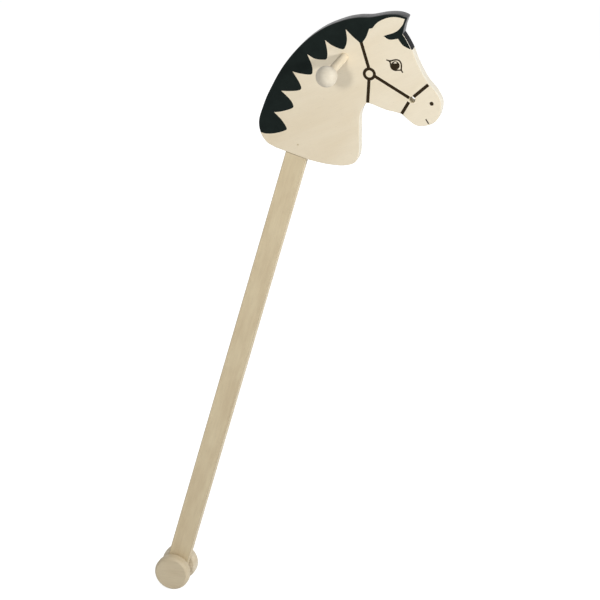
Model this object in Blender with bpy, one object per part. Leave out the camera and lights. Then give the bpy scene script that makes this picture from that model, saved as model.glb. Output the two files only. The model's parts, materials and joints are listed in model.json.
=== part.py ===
# A wooden stick horse: a flat plywood head on a square stick, a round handle with a ball knob at
# each end, and a pair of small wheels that turn together on an axle through the foot of the stick.
#
# +Z is up, the nose points along +X, and the toy is the same on both sides of the XZ plane.
# It is drawn upright along its stick, and then leaned over the axle as the toy stands in use.
# The origin is under the middle of the toy, on the floor. Lengths are in metres.

import math

import bmesh
import bpy
from mathutils import Vector

# The stick
STICK_LEAN = 15.6  # degrees from upright, towards the nose
STICK_LENGTH = 0.6833  # from the axle to the seat under the head
STICK_WIDTH = 0.030
STICK_THICKNESS = 0.016
STICK_EASED_EDGE = 0.0008

# The head board and its joint with the stick
HEAD_THICKNESS = 0.016
HEAD_EASED_EDGE = 0.0008
SEAT_BEHIND_STICK = 0.015  # how far the flat seat reaches past the stick, towards the mane
SEAT_BEFORE_STICK = 0.004  # and towards the throat
TENON_SHOULDER = 0.005  # how far the stick stands out on each side of its tenon
TENON_THICKNESS = 0.007
TENON_LENGTH = 0.036
PIN_DIAMETER = 0.0024
PIN_ABOVE_SEAT = 0.0153
PIN_ASIDE = -0.0015

# The handle
HANDLE_ACROSS = 0.0252  # its place on the head, from the middle of the seat
HANDLE_ABOVE_SEAT = 0.1588
HANDLE_DIAMETER = 0.012
HANDLE_REACH = 0.084  # from the side of the head to the middle of a knob
KNOB_DIAMETER = 0.029
KNOB_FLAT_MARGIN = 0.002  # the width of the flat ring round the mouth of a knob's socket
KNOB_SOCKET_DEPTH = 0.015
ROD_END_CHAMFER = 0.0006

# The hole for the reins
REIN_HOLE_ACROSS = 0.1309
REIN_HOLE_ABOVE_SEAT = 0.1355
REIN_HOLE_DIAMETER = 0.0085

# The wheels and their axle
WHEEL_DIAMETER = 0.0515
WHEEL_THICKNESS = 0.0174
WHEEL_EDGE_RADIUS = 0.0034
WHEEL_SIDE_PLAY = 0.0010  # between a wheel and the side of the stick
WHEEL_FLOOR = 0.0069  # wood left past the end of the axle
AXLE_DIAMETER = 0.008

# The gap between pieces that touch on the toy
FIT = 0.0003

# Colour and roughness of each piece
FINISHES = {
    "head_board": ((0.78, 0.69, 0.52), 0.45),
    "stick": ((0.57, 0.46, 0.31), 0.50),
    "head_pin": ((0.35, 0.25, 0.15), 0.55),
    "handle_rod": ((0.72, 0.62, 0.45), 0.50),
    "knob_right": ((0.84, 0.77, 0.62), 0.45),
    "knob_left": ((0.84, 0.77, 0.62), 0.45),
    "axle": ((0.55, 0.45, 0.31), 0.55),
    "wheel_right": ((0.49, 0.41, 0.29), 0.50),
    "wheel_left": ((0.49, 0.41, 0.29), 0.50),
}

# Facets
ROUND_STEPS = 48
WHEEL_STEPS = 72
SMALL_STEPS = 16
OUTLINE_STEPS = 4
EDGE_STEPS = 2
FILLET_STEPS = 5
KNOB_STEPS = 12
CUT_PAST = 0.004  # how far a cutter runs past the wood
SAME_POINT = 1e-6
SHARP_ANGLE = 35  # degrees

# Sizes that follow
stick_half = STICK_WIDTH / 2
tenon_half_width = stick_half - TENON_SHOULDER
axle_height = WHEEL_DIAMETER / 2
wheel_inner_face = STICK_THICKNESS / 2 + WHEEL_SIDE_PLAY
wheel_socket_depth = WHEEL_THICKNESS - WHEEL_FLOOR
axle_half_length = wheel_inner_face + wheel_socket_depth - FIT
knob_centre = HEAD_THICKNESS / 2 + HANDLE_REACH
knob_flat_radius = HANDLE_DIAMETER / 2 + KNOB_FLAT_MARGIN
knob_face = math.sqrt((KNOB_DIAMETER / 2) ** 2 - knob_flat_radius ** 2)
handle_half_length = knob_centre - knob_face + KNOB_SOCKET_DEPTH - FIT

# The head's outline, from the middle of its seat: across towards the nose, and up along the stick.
# The curve is smooth through each point but the corners.
HEAD_OUTLINE = (
    ("seat, throat side", stick_half + SEAT_BEFORE_STICK, 0.0, "corner"),
    ("neck root", 0.0430, 0.0032, "smooth"),
    ("neck front, foot", 0.0672, 0.0100, "smooth"),
    ("neck front, turn", 0.0808, 0.0198, "smooth"),
    ("neck front, fullest", 0.0827, 0.0330, "smooth"),
    ("neck front, middle", 0.0772, 0.0545, "smooth"),
    ("neck front, narrowest", 0.0688, 0.0870, "smooth"),
    ("under the jaw", 0.0700, 0.1018, "smooth"),
    ("back of the jaw", 0.0745, 0.1085, "smooth"),
    ("jaw", 0.1000, 0.1085, "smooth"),
    ("jaw, front", 0.1220, 0.1105, "smooth"),
    ("chin groove", 0.1335, 0.1060, "smooth"),
    ("lower lip", 0.1470, 0.1025, "smooth"),
    ("mouth", 0.1585, 0.1066, "smooth"),
    ("upper lip", 0.1668, 0.1130, "smooth"),
    ("muzzle, low", 0.1712, 0.1205, "smooth"),
    ("muzzle", 0.1722, 0.1295, "smooth"),
    ("nostril", 0.1698, 0.1440, "smooth"),
    ("nose, top", 0.1592, 0.1563, "smooth"),
    ("nose bridge", 0.1413, 0.1683, "smooth"),
    ("face", 0.1223, 0.1873, "smooth"),
    ("forehead", 0.1110, 0.2020, "smooth"),
    ("forelock", 0.1007, 0.2127, "smooth"),
    ("ear, front root", 0.0930, 0.2192, "corner"),
    ("ear, front", 0.0921, 0.2310, "smooth"),
    ("ear, tip front", 0.0926, 0.2385, "smooth"),
    ("ear, tip", 0.0922, 0.2432, "smooth"),
    ("ear, top", 0.0800, 0.2434, "smooth"),
    ("ear, back", 0.0640, 0.2375, "smooth"),
    ("ear, back root", 0.0450, 0.2266, "smooth"),
    ("poll", 0.0280, 0.2197, "smooth"),
    ("mane, first bend", 0.0102, 0.2087, "smooth"),
    ("mane, upper", -0.0145, 0.1860, "smooth"),
    ("mane, middle", -0.0352, 0.1552, "smooth"),
    ("mane, lower", -0.0512, 0.1165, "smooth"),
    ("mane, back", -0.0604, 0.0740, "smooth"),
    ("mane, fullest", -0.0628, 0.0500, "smooth"),
    ("mane, turn", -0.0625, 0.0280, "smooth"),
    ("mane, foot", -0.0550, 0.0120, "smooth"),
    ("mane, root", -0.0430, 0.0025, "smooth"),
    ("seat, mane side", -stick_half - SEAT_BEHIND_STICK, 0.0, "corner"),
)


def clear_scene():
    for item in list(bpy.data.objects):
        bpy.data.objects.remove(item, do_unlink=True)


def wood(piece_name):
    """A plain material with the piece's own colour."""
    colour, roughness = FINISHES[piece_name]
    material = bpy.data.materials.new(piece_name + " wood")
    material.use_nodes = True
    shader = material.node_tree.nodes["Principled BSDF"]
    shader.inputs["Base Color"].default_value = (*colour, 1.0)
    shader.inputs["Roughness"].default_value = roughness
    shader.inputs["Metallic"].default_value = 0.0
    return material


def new_object(name, mesh_data, parent):
    """An object made from a bmesh, with smooth shading on its round faces."""
    mesh = bpy.data.meshes.new(name)
    mesh_data.to_mesh(mesh)
    mesh_data.free()
    mesh.shade_smooth()
    mesh.set_sharp_from_angle(angle=math.radians(SHARP_ANGLE))
    made = bpy.data.objects.new(name, mesh)
    bpy.context.scene.collection.objects.link(made)
    made.parent = parent
    return made


def new_piece(name, mesh_data, parent):
    piece = new_object(name, mesh_data, parent)
    piece.data.materials.append(wood(name))
    return piece


def new_guide(name, mesh_data, parent):
    """A hidden shape that is cut from a piece, or joined to it."""
    guide = new_object(name, mesh_data, parent)
    guide.hide_render = True
    guide.display_type = "WIRE"
    return guide


def combine(piece, guide, operation):
    modifier = piece.modifiers.new(guide.name, "BOOLEAN")
    modifier.operation = operation
    modifier.solver = "EXACT"
    modifier.object = guide


def box(low, high):
    """A box between two corners."""
    data = bmesh.new()
    bmesh.ops.create_cube(data, size=1.0)
    size = Vector(high) - Vector(low)
    middle = (Vector(high) + Vector(low)) / 2
    bmesh.ops.scale(data, vec=size, verts=data.verts)
    bmesh.ops.translate(data, vec=middle, verts=data.verts)
    return data


def turned(profile, steps):
    """A solid turned about the Y axis from (radius, y) points that start and end on the axis."""
    data = bmesh.new()
    points = [data.verts.new((radius, along, 0.0)) for radius, along in profile]
    edges = [data.edges.new(pair) for pair in zip(points, points[1:])]
    bmesh.ops.spin(
        data, geom=points + edges, axis=(0, 1, 0), cent=(0, 0, 0),
        angle=math.tau, steps=steps, use_merge=True,
    )
    bmesh.ops.remove_doubles(data, verts=data.verts, dist=SAME_POINT)
    bmesh.ops.recalc_face_normals(data, faces=data.faces)
    return data


def rod(radius, half_length, steps, end_chamfer=0.0):
    """A round rod along the Y axis."""
    end = half_length
    profile = [(0.0, -end), (radius - end_chamfer, -end)]
    if end_chamfer:
        profile += [(radius, end_chamfer - end), (radius, end - end_chamfer)]
    profile += [(radius - end_chamfer, end), (0.0, end)]
    return turned(profile, steps)


def board(outline, thickness, eased_edge):
    """A board cut to an outline in the XZ plane, with its edges eased on both sides."""
    data = bmesh.new()
    face = data.faces.new([data.verts.new((x, -thickness / 2, z)) for x, z in outline])
    made = bmesh.ops.extrude_face_region(data, geom=[face])["geom"]
    far_side = [item for item in made if isinstance(item, bmesh.types.BMVert)]
    bmesh.ops.translate(data, vec=(0, thickness, 0), verts=far_side)
    bmesh.ops.recalc_face_normals(data, faces=data.faces)
    rims = [edge for edge in data.edges if abs(edge.verts[0].co.y - edge.verts[1].co.y) < SAME_POINT]
    bmesh.ops.bevel(
        data, geom=rims, offset=eased_edge, segments=EDGE_STEPS, profile=0.5,
        affect="EDGES", clamp_overlap=True, material=-1,
    )
    return data


def arc(centre, radius, start, end, steps):
    """Points on an arc, with angles in degrees from the first axis to the second."""
    angles = [math.radians(start + (end - start) * step / steps) for step in range(steps + 1)]
    return [(centre[0] + radius * math.cos(a), centre[1] + radius * math.sin(a)) for a in angles]


def smooth_stretch(points, steps):
    """A curve through the points of one stretch, between two corners."""
    first = points[0] * 2 - points[1]
    last = points[-1] * 2 - points[-2]
    knots = [first, *points, last]
    curve = []
    for before, start, end, after in zip(knots, knots[1:], knots[2:], knots[3:]):
        run = (end - start).length
        into = (end - before) * run / ((start - before).length + run)
        out = (after - start) * run / ((after - end).length + run)
        for step in range(steps):
            t = step / steps
            curve.append(
                start * (2 * t**3 - 3 * t**2 + 1)
                + into * (t**3 - 2 * t**2 + t)
                + end * (3 * t**2 - 2 * t**3)
                + out * (t**3 - t**2)
            )
    return curve


def closed_outline(named_points, steps):
    """The whole outline, as smooth stretches from corner to corner. The first point is a corner."""
    points = [Vector((across, up)) for _, across, up, _ in named_points]
    corners = [index for index, row in enumerate(named_points) if row[3] == "corner"]
    outline = []
    for start, end in zip(corners, corners[1:]):
        stretch = points[start:end + 1]
        outline += smooth_stretch(stretch, steps) if len(stretch) > 2 else [stretch[0]]
    return [tuple(point) for point in outline] + [tuple(points[corners[-1]])]


def head_reach(outline):
    """How far the nose reaches in front of the axle, once the toy leans."""
    lean = math.radians(STICK_LEAN)
    return max(x * math.cos(lean) + (z + STICK_LENGTH) * math.sin(lean) for x, z in outline)


def make_empty(name, place, lean=0.0):
    empty = bpy.data.objects.new(name, None)
    empty.location = place
    empty.rotation_euler = (0.0, math.radians(lean), 0.0)
    bpy.context.scene.collection.objects.link(empty)
    return empty


def add_head(outline, upright):
    """The head board, with its mortise and the holes for the peg, the handle and the reins."""
    head = new_piece("head_board", board(outline, HEAD_THICKNESS, HEAD_EASED_EDGE), upright)
    head.location = (0.0, 0.0, STICK_LENGTH)
    mortise = new_guide("mortise_cutter", box(
        (-tenon_half_width - FIT, -TENON_THICKNESS / 2 - FIT, -CUT_PAST),
        (tenon_half_width + FIT, TENON_THICKNESS / 2 + FIT, TENON_LENGTH + FIT),
    ), head)
    combine(head, mortise, "DIFFERENCE")
    holes = (
        ("pin_hole_cutter", PIN_DIAMETER / 2 + FIT, PIN_ASIDE, PIN_ABOVE_SEAT, SMALL_STEPS),
        ("handle_hole_cutter", HANDLE_DIAMETER / 2 + FIT, HANDLE_ACROSS, HANDLE_ABOVE_SEAT, ROUND_STEPS),
        ("rein_hole_cutter", REIN_HOLE_DIAMETER / 2, REIN_HOLE_ACROSS, REIN_HOLE_ABOVE_SEAT, ROUND_STEPS),
    )
    for name, radius, across, up, steps in holes:
        hole = new_guide(name, rod(radius, HEAD_THICKNESS / 2 + CUT_PAST, steps), head)
        hole.location = (across, 0.0, up)
        combine(head, hole, "DIFFERENCE")


def add_stick(upright):
    """The stick, round at its foot, with a tenon that stands up into the head."""
    top = STICK_LENGTH - FIT
    foot = arc((0.0, 0.0), stick_half, 180, 360, ROUND_STEPS // 2)
    outline = [*foot, (stick_half, top), (-stick_half, top)]
    stick = new_piece("stick", board(outline, STICK_THICKNESS, STICK_EASED_EDGE), upright)
    tenon = new_guide("tenon", box(
        (-tenon_half_width, -TENON_THICKNESS / 2, STICK_LENGTH - TENON_LENGTH),
        (tenon_half_width, TENON_THICKNESS / 2, STICK_LENGTH + TENON_LENGTH),
    ), upright)
    combine(stick, tenon, "UNION")
    through = STICK_THICKNESS / 2 + CUT_PAST
    pin_hole = new_guide(
        "tenon_pin_hole_cutter", rod(PIN_DIAMETER / 2 + FIT, through, SMALL_STEPS), upright)
    pin_hole.location = (PIN_ASIDE, 0.0, STICK_LENGTH + PIN_ABOVE_SEAT)
    axle_hole = new_guide(
        "axle_hole_cutter", rod(AXLE_DIAMETER / 2 + FIT, through, ROUND_STEPS), upright)
    combine(stick, pin_hole, "DIFFERENCE")
    combine(stick, axle_hole, "DIFFERENCE")


def add_pin(upright):
    """The peg that holds the tenon in the head, flush on both sides."""
    pin = new_piece("head_pin", rod(PIN_DIAMETER / 2, HEAD_THICKNESS / 2, SMALL_STEPS), upright)
    pin.location = (PIN_ASIDE, 0.0, STICK_LENGTH + PIN_ABOVE_SEAT)


def add_handle(upright):
    """The handle through the head, with a ball knob on each end."""
    shape = rod(HANDLE_DIAMETER / 2, handle_half_length, ROUND_STEPS, ROD_END_CHAMFER)
    handle = new_piece("handle_rod", shape, upright)
    handle.location = (HANDLE_ACROSS, 0.0, STICK_LENGTH + HANDLE_ABOVE_SEAT)
    for name, side in (("knob_right", -1), ("knob_left", 1)):
        knob = new_piece(name, turned(knob_profile(), ROUND_STEPS), handle)
        knob.location = (0.0, side * knob_centre, 0.0)
        knob.rotation_euler = (0.0, 0.0, math.pi if side < 0 else 0.0)


def knob_profile():
    """A ball with a flat and a blind socket on its side at -Y."""
    radius = KNOB_DIAMETER / 2
    socket = HANDLE_DIAMETER / 2 + FIT
    start = math.degrees(math.atan2(-knob_face, knob_flat_radius))
    ball = arc((0.0, 0.0), radius, start, 90, KNOB_STEPS)
    floor = KNOB_SOCKET_DEPTH - knob_face
    return [(0.0, floor), (socket, floor), (socket, -knob_face), *ball[:-1], (0.0, radius)]


def wheel_profile():
    """A disc from y = 0 at its inner face, with rounded edges and a blind socket for the axle."""
    radius = WHEEL_DIAMETER / 2
    edge = WHEEL_EDGE_RADIUS
    socket = AXLE_DIAMETER / 2 + FIT
    inner = arc((radius - edge, edge), edge, -90, 0, FILLET_STEPS)
    outer = arc((radius - edge, WHEEL_THICKNESS - edge), edge, 0, 90, FILLET_STEPS)
    mouth = [(0.0, wheel_socket_depth), (socket, wheel_socket_depth), (socket, 0.0)]
    return [*mouth, *inner, *outer, (0.0, WHEEL_THICKNESS)]


def add_wheels(centre):
    """The axle, with a wheel fixed on each end. They turn together about the empty at its middle."""
    new_piece("axle", rod(AXLE_DIAMETER / 2, axle_half_length, ROUND_STEPS), centre)
    for name, side in (("wheel_right", -1), ("wheel_left", 1)):
        wheel = new_piece(name, turned(wheel_profile(), WHEEL_STEPS), centre)
        wheel.location = (0.0, side * wheel_inner_face, 0.0)
        wheel.rotation_euler = (0.0, 0.0, math.pi if side < 0 else 0.0)


def main():
    clear_scene()
    outline = closed_outline(HEAD_OUTLINE, OUTLINE_STEPS)
    behind = max(WHEEL_DIAMETER, STICK_WIDTH) / 2
    axle_place = ((behind - head_reach(outline)) / 2, 0.0, axle_height)
    upright = make_empty("upright_frame", axle_place, STICK_LEAN)
    axle_centre = make_empty("axle_centre", axle_place)
    add_head(outline, upright)
    add_stick(upright)
    add_pin(upright)
    add_handle(upright)
    add_wheels(axle_centre)
    bpy.context.view_layer.update()


main()
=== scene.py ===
# The looks of a wooden stick horse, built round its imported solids: the printed plywood head, the square
# stick, the handle with its ball knobs, the wheels, and a plain pale studio.
#
# Metres, +Z up, the nose along +X, the same on both sides of the XZ plane. Pieces are drawn upright
# along the stick and then leaned over the axle, as the toy stands.

import json
import math

import bmesh
import bpy
from mathutils import Matrix, Vector
from mathutils.geometry import intersect_line_line_2d


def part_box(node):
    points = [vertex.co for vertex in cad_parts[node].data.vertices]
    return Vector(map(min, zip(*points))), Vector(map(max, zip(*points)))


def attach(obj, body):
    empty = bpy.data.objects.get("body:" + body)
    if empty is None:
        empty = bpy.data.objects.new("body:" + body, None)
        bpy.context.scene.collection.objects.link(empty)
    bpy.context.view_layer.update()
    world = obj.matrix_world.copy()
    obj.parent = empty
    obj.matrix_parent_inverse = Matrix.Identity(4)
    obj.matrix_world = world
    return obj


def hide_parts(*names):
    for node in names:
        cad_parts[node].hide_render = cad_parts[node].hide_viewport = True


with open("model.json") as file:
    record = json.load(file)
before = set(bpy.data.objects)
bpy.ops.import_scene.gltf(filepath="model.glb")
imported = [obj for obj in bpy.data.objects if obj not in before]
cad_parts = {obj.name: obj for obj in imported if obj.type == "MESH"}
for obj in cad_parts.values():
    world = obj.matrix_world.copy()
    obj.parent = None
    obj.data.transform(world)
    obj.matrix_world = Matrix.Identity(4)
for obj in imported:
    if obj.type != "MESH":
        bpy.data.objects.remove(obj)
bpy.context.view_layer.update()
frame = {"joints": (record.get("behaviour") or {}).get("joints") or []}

bl_info = {
    "name": "Wooden stick horse",
    "version": (1, 0, 0),
    "blender": (4, 5, 0),
    "location": "View3D > Sidebar > Stick horse",
    "description": "Builds the visible surfaces of a wooden stick horse round its packed solids",
    "category": "Object",
}

MM = 0.001

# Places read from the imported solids
AXLE_CENTRE = Vector(frame["joints"][0]["pos_m"])


def middle(node):
    low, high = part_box(node)
    return (low + high) / 2


def extent(node):
    low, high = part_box(node)
    return high - low


def radius_of(node):
    """The radius of a round node, which lies along Y."""
    return extent(node).x / 2


# The peg's place in the head, from the middle of the seat, across and up along the stick
PEG_ACROSS = -1.5 * MM
PEG_ABOVE_SEAT = 15.3 * MM
PEG_FROM_AXLE = middle("head_pin") - AXLE_CENTRE
PEG_ALONG = math.sqrt(PEG_FROM_AXLE.length_squared - PEG_ACROSS ** 2)
STICK_LENGTH = PEG_ALONG - PEG_ABOVE_SEAT
STICK_LEAN = math.atan2(PEG_FROM_AXLE.x, PEG_FROM_AXLE.z) - math.atan2(PEG_ACROSS, PEG_ALONG)

# The head's outline in metres, from the middle of its seat: across towards the nose, and up along
# the stick. This and the other curves below are smooth through each point but the corners.
CORNER = "corner"
HEAD_OUTLINE = (
    ("seat, throat side", 0.0190, 0.0, CORNER),
    ("neck root", 0.0430, 0.0032),
    ("neck front, foot", 0.0672, 0.0100),
    ("neck front, turn", 0.0808, 0.0198),
    ("neck front, fullest", 0.0827, 0.0330),
    ("neck front, middle", 0.0772, 0.0545),
    ("neck front, narrowest", 0.0688, 0.0870),
    ("under the jaw", 0.0700, 0.1018),
    ("back of the jaw", 0.0745, 0.1085),
    ("jaw", 0.1000, 0.1085),
    ("jaw, front", 0.1220, 0.1105),
    ("chin groove", 0.1335, 0.1060),
    ("lower lip", 0.1470, 0.1025),
    ("mouth", 0.1585, 0.1066),
    ("upper lip", 0.1668, 0.1130),
    ("muzzle, low", 0.1712, 0.1205),
    ("muzzle", 0.1722, 0.1295),
    ("nostril", 0.1698, 0.1440),
    ("nose, top", 0.1592, 0.1563),
    ("nose bridge", 0.1413, 0.1683),
    ("face", 0.1223, 0.1873),
    ("forehead", 0.1110, 0.2020),
    ("forelock", 0.1007, 0.2127),
    ("ear, front root", 0.0930, 0.2192, CORNER),
    ("ear, front", 0.0921, 0.2310),
    ("ear, tip front", 0.0926, 0.2385),
    ("ear, tip", 0.0922, 0.2432),
    ("ear, top", 0.0800, 0.2434),
    ("ear, back", 0.0640, 0.2375),
    ("ear, back root", 0.0450, 0.2266),
    ("poll", 0.0280, 0.2197),
    ("mane, first bend", 0.0102, 0.2087),
    ("mane, upper", -0.0145, 0.1860),
    ("mane, middle", -0.0352, 0.1552),
    ("mane, lower", -0.0512, 0.1165),
    ("mane, back", -0.0604, 0.0740),
    ("mane, fullest", -0.0628, 0.0500),
    ("mane, turn", -0.0625, 0.0280),
    ("mane, foot", -0.0550, 0.0120),
    ("mane, root", -0.0430, 0.0025),
    ("seat, mane side", -0.0300, 0.0, CORNER),
)

# The straps of the printed bridle, in metres on the face of the head: where each one starts and ends
STRAPS = {
    "cheek": ((0.0651, 0.1520), (0.0423, 0.1875)),
    "throat": ((0.0651, 0.1491), (0.0734, 0.1125)),
    "nose": ((0.0651, 0.1505), (0.1266, 0.1365)),
    "noseband": ((0.1316, 0.1401), (0.1458, 0.1638)),
    "chin": ((0.1275, 0.1307), (0.1236, 0.1140)),
}
RING_STRAPS = ("throat", "nose", "cheek")  # these leave the ring
TO_THE_RIM = ("throat", "chin")  # these run on from their end to just short of the rim
REACH = 10 * MM  # how far from their end the rim is looked for
RIM_GAP = 0.1 * MM
RING_CENTRE = (0.0651, 0.1491)

# The inner edge of the printed mane, from the rim at its foot up to the rim at the forelock. Each lock
# runs from a notch to a blunt tip and back to the next notch.
MANE_TO_STRAP = (
    ("foot of the mane", -0.0569, 0.0134, CORNER),
    ("first lock, under", -0.0472, 0.0147),
    ("first lock, under the tip", -0.0353, 0.0202),
    ("first lock, tip low", -0.0247, 0.0279),
    ("first lock, tip", -0.0222, 0.0316),
    ("first lock, over the tip", -0.0262, 0.0366),
    ("first lock, over", -0.0345, 0.0428),
    ("first notch", -0.0454, 0.0483, CORNER),
    ("second lock, under", -0.0358, 0.0533),
    ("second lock, tip low", -0.0237, 0.0624),
    ("second lock, tip", -0.0220, 0.0664),
    ("second lock, over", -0.0280, 0.0733),
    ("second notch", -0.0441, 0.0816, CORNER),
    ("third lock, under", -0.0330, 0.0854),
    ("third lock, tip low", -0.0207, 0.0914),
    ("third lock, tip", -0.0186, 0.0950),
    ("third lock, over", -0.0232, 0.1020),
    ("third notch", -0.0366, 0.1138, CORNER),
    ("fourth lock, under", -0.0250, 0.1150),
    ("fourth lock, tip low", -0.0118, 0.1186),
    ("fourth lock, tip", -0.0098, 0.1217),
    ("fourth lock, over", -0.0132, 0.1316),
    ("fourth notch", -0.0237, 0.1447, CORNER),
    ("fifth lock, under", -0.0120, 0.1425),
    ("fifth lock, tip low", 0.0014, 0.1462),
    ("fifth lock, tip", 0.0036, 0.1492),
    ("fifth lock, over", 0.0016, 0.1585),
    ("fifth notch", -0.0058, 0.1728, CORNER),
    ("sixth lock, under", 0.0052, 0.1692),
    ("sixth lock, tip low", 0.0200, 0.1689),
    ("sixth lock, tip", 0.0230, 0.1719),
    ("sixth lock, over", 0.0229, 0.1835),
    ("sixth notch", 0.0172, 0.1976, CORNER),
    ("last lock, under", 0.0294, 0.1912),
    ("cheek strap", 0.0405, 0.1866, CORNER),
)
MANE_FROM_STRAP = (
    ("cheek strap", 0.0441, 0.1890, CORNER),
    ("last lock, over", 0.0466, 0.1975),
    ("notch under the ear", 0.0473, 0.2098, CORNER),
    ("ear, root", 0.0512, 0.2122, CORNER),
    ("ear, inside back", 0.0556, 0.2222),
    ("ear, inside back, high", 0.0660, 0.2328),
    ("ear, inside top", 0.0776, 0.2385),
    ("ear, inside tip", 0.0896, 0.2403, CORNER),
    ("ear, inside front", 0.0889, 0.2312),
    ("ear, inside front, low", 0.0836, 0.2196),
    ("ear, inside foot", 0.0686, 0.2072, CORNER),
    ("under the ear", 0.0775, 0.2052),
    ("forelock, root", 0.0886, 0.2106, CORNER),
    ("forelock, under", 0.0972, 0.2043),
    ("forelock, end", 0.1087, 0.2022, CORNER),
)

# The printed eye: its lids with their lashes, the white between them and the pupil, and the shine
EYE_RIM = (
    ("lash, upper side", 0.0815, 0.1775, CORNER),
    ("lash, upper root", 0.0844, 0.1776),
    ("upper lid, foot", 0.0871, 0.1783),
    ("upper lid, back", 0.0900, 0.1802),
    ("upper lid, rise", 0.0931, 0.1821),
    ("upper lid, top", 0.0964, 0.1831),
    ("upper lid, front", 0.0995, 0.1826),
    ("front of the lid", 0.1021, 0.1808),
    ("front, high", 0.1040, 0.1779),
    ("front", 0.1050, 0.1747),
    ("front, low", 0.1057, 0.1716),
    ("front lash, root", 0.1065, 0.1700),
    ("front lash, tip", 0.1087, 0.1683, CORNER),
    ("front lash, under the tip", 0.1077, 0.1667, CORNER),
    ("front lash, under", 0.1046, 0.1689, CORNER),
    ("lower lid, front", 0.1027, 0.1681),
    ("lower lid, turn", 0.1003, 0.1672),
    ("lower lid, rise", 0.0978, 0.1659),
    ("lower lid, low", 0.0946, 0.1658),
    ("lower lid", 0.0913, 0.1671),
    ("lower lid, back", 0.0894, 0.1692),
    ("back", 0.0881, 0.1718),
    ("back, high", 0.0871, 0.1740),
    ("lash, lower root", 0.0856, 0.1754),
    ("lash, lower side", 0.0817, 0.1757, CORNER),
)
EYE_WHITE = (
    ("back", 0.0893, 0.1738, CORNER),
    ("back corner", 0.0882, 0.1760, CORNER),
    ("under the lid, back", 0.0909, 0.1784),
    ("under the lid", 0.0940, 0.1801),
    ("top", 0.0966, 0.1810),
    ("top front", 0.0987, 0.1806),
    ("front, high", 0.1006, 0.1793),
    ("front", 0.1020, 0.1771),
    ("front, low", 0.1029, 0.1743),
    ("front corner", 0.1037, 0.1707, CORNER),
    ("low", 0.1014, 0.1696, CORNER),
)
PUPIL_CENTRE = (0.0956, 0.1736)
PUPIL_RADIUS = 5.9 * MM
PUPIL_ARC = (-52.0, 166.0)  # in degrees, the stretch of the pupil's rim that meets the white
SHINE = (
    ("front", 0.0963, 0.1768, CORNER),
    ("top front", 0.0957, 0.1782),
    ("top back", 0.0938, 0.1780),
    ("back", 0.0921, 0.1753, CORNER),
)
NOSTRIL = (0.1577, 0.1398)
NOSTRIL_RADIUS = 2.85 * MM
MOUTH = ((0.1562, 0.1161), (0.1619, 0.1111))
MOUTH_WIDTH = 1.8 * MM
REIN_HOLE = (0.1309, 0.1355)

# Where the black paint on the edge of the board stops, at the foot of the mane and at the forelock.
# From the ear down along the forelock it is dull, and a thin strip of it next to the print takes the pale ply
# colour, a painted highlight on the arris.
EDGE_PAINT_ENDS = (Vector((-0.0569, 0.0134)), Vector((0.1126, 0.2030)))
FORELOCK_TOP = Vector((0.0920, 0.2190))
# How far from the face the strip of painted highlight reaches on the arris
HIGHLIGHT_STRIP_DEPTH = 0.2 * MM

# A glued rod sits in its hole with the fit's gap made this many times smaller
TIGHTER = 3

# The rounding of the mouths of the peg's and the handle's holes, as a share of the rein hole's
PEG_HOLE_SHARE = 0.2
HANDLE_HOLE_SHARE = 0.5
PEG_CHAMFER_SHARE = 0.125  # of the peg's radius

# Facets on each curve
OUTLINE_STEPS = 8
PRINT_STEPS = 6
PUPIL_STEPS = 24
ARRIS_STEPS = 4
WHEEL_EDGE_STEPS = 12
BALL_STEPS = 32
TURNED_STEPS = 96
HOLE_STEPS = 48
SMALL_STEPS = 24

SAME_POINT = 1e-6
SAME_POINT_DIGITS = 6
FLAT_ENOUGH = 0.9999  # the part along Y of the normal of a flat side
SHARP_FROM = math.radians(35.0)


def srgb(red, green, blue):
    """A colour written as 8-bit screen values, as the linear colour that materials take."""
    def linear(value):
        share = value / 255
        return share / 12.92 if share <= 0.04045 else ((share + 0.055) / 1.055) ** 2.4
    return tuple(linear(value) for value in (red, green, blue))


def length_property(name, description, default):
    return bpy.props.FloatProperty(
        name=name, description=description, default=default, min=0.0, unit="LENGTH", precision=5)


def colour_property(name, description, *screen_values):
    """A colour whose default is written as 8-bit screen values."""
    return bpy.props.FloatVectorProperty(
        name=name, description=description, default=srgb(*screen_values), size=3, min=0.0, max=1.0,
        subtype="COLOR")


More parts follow.
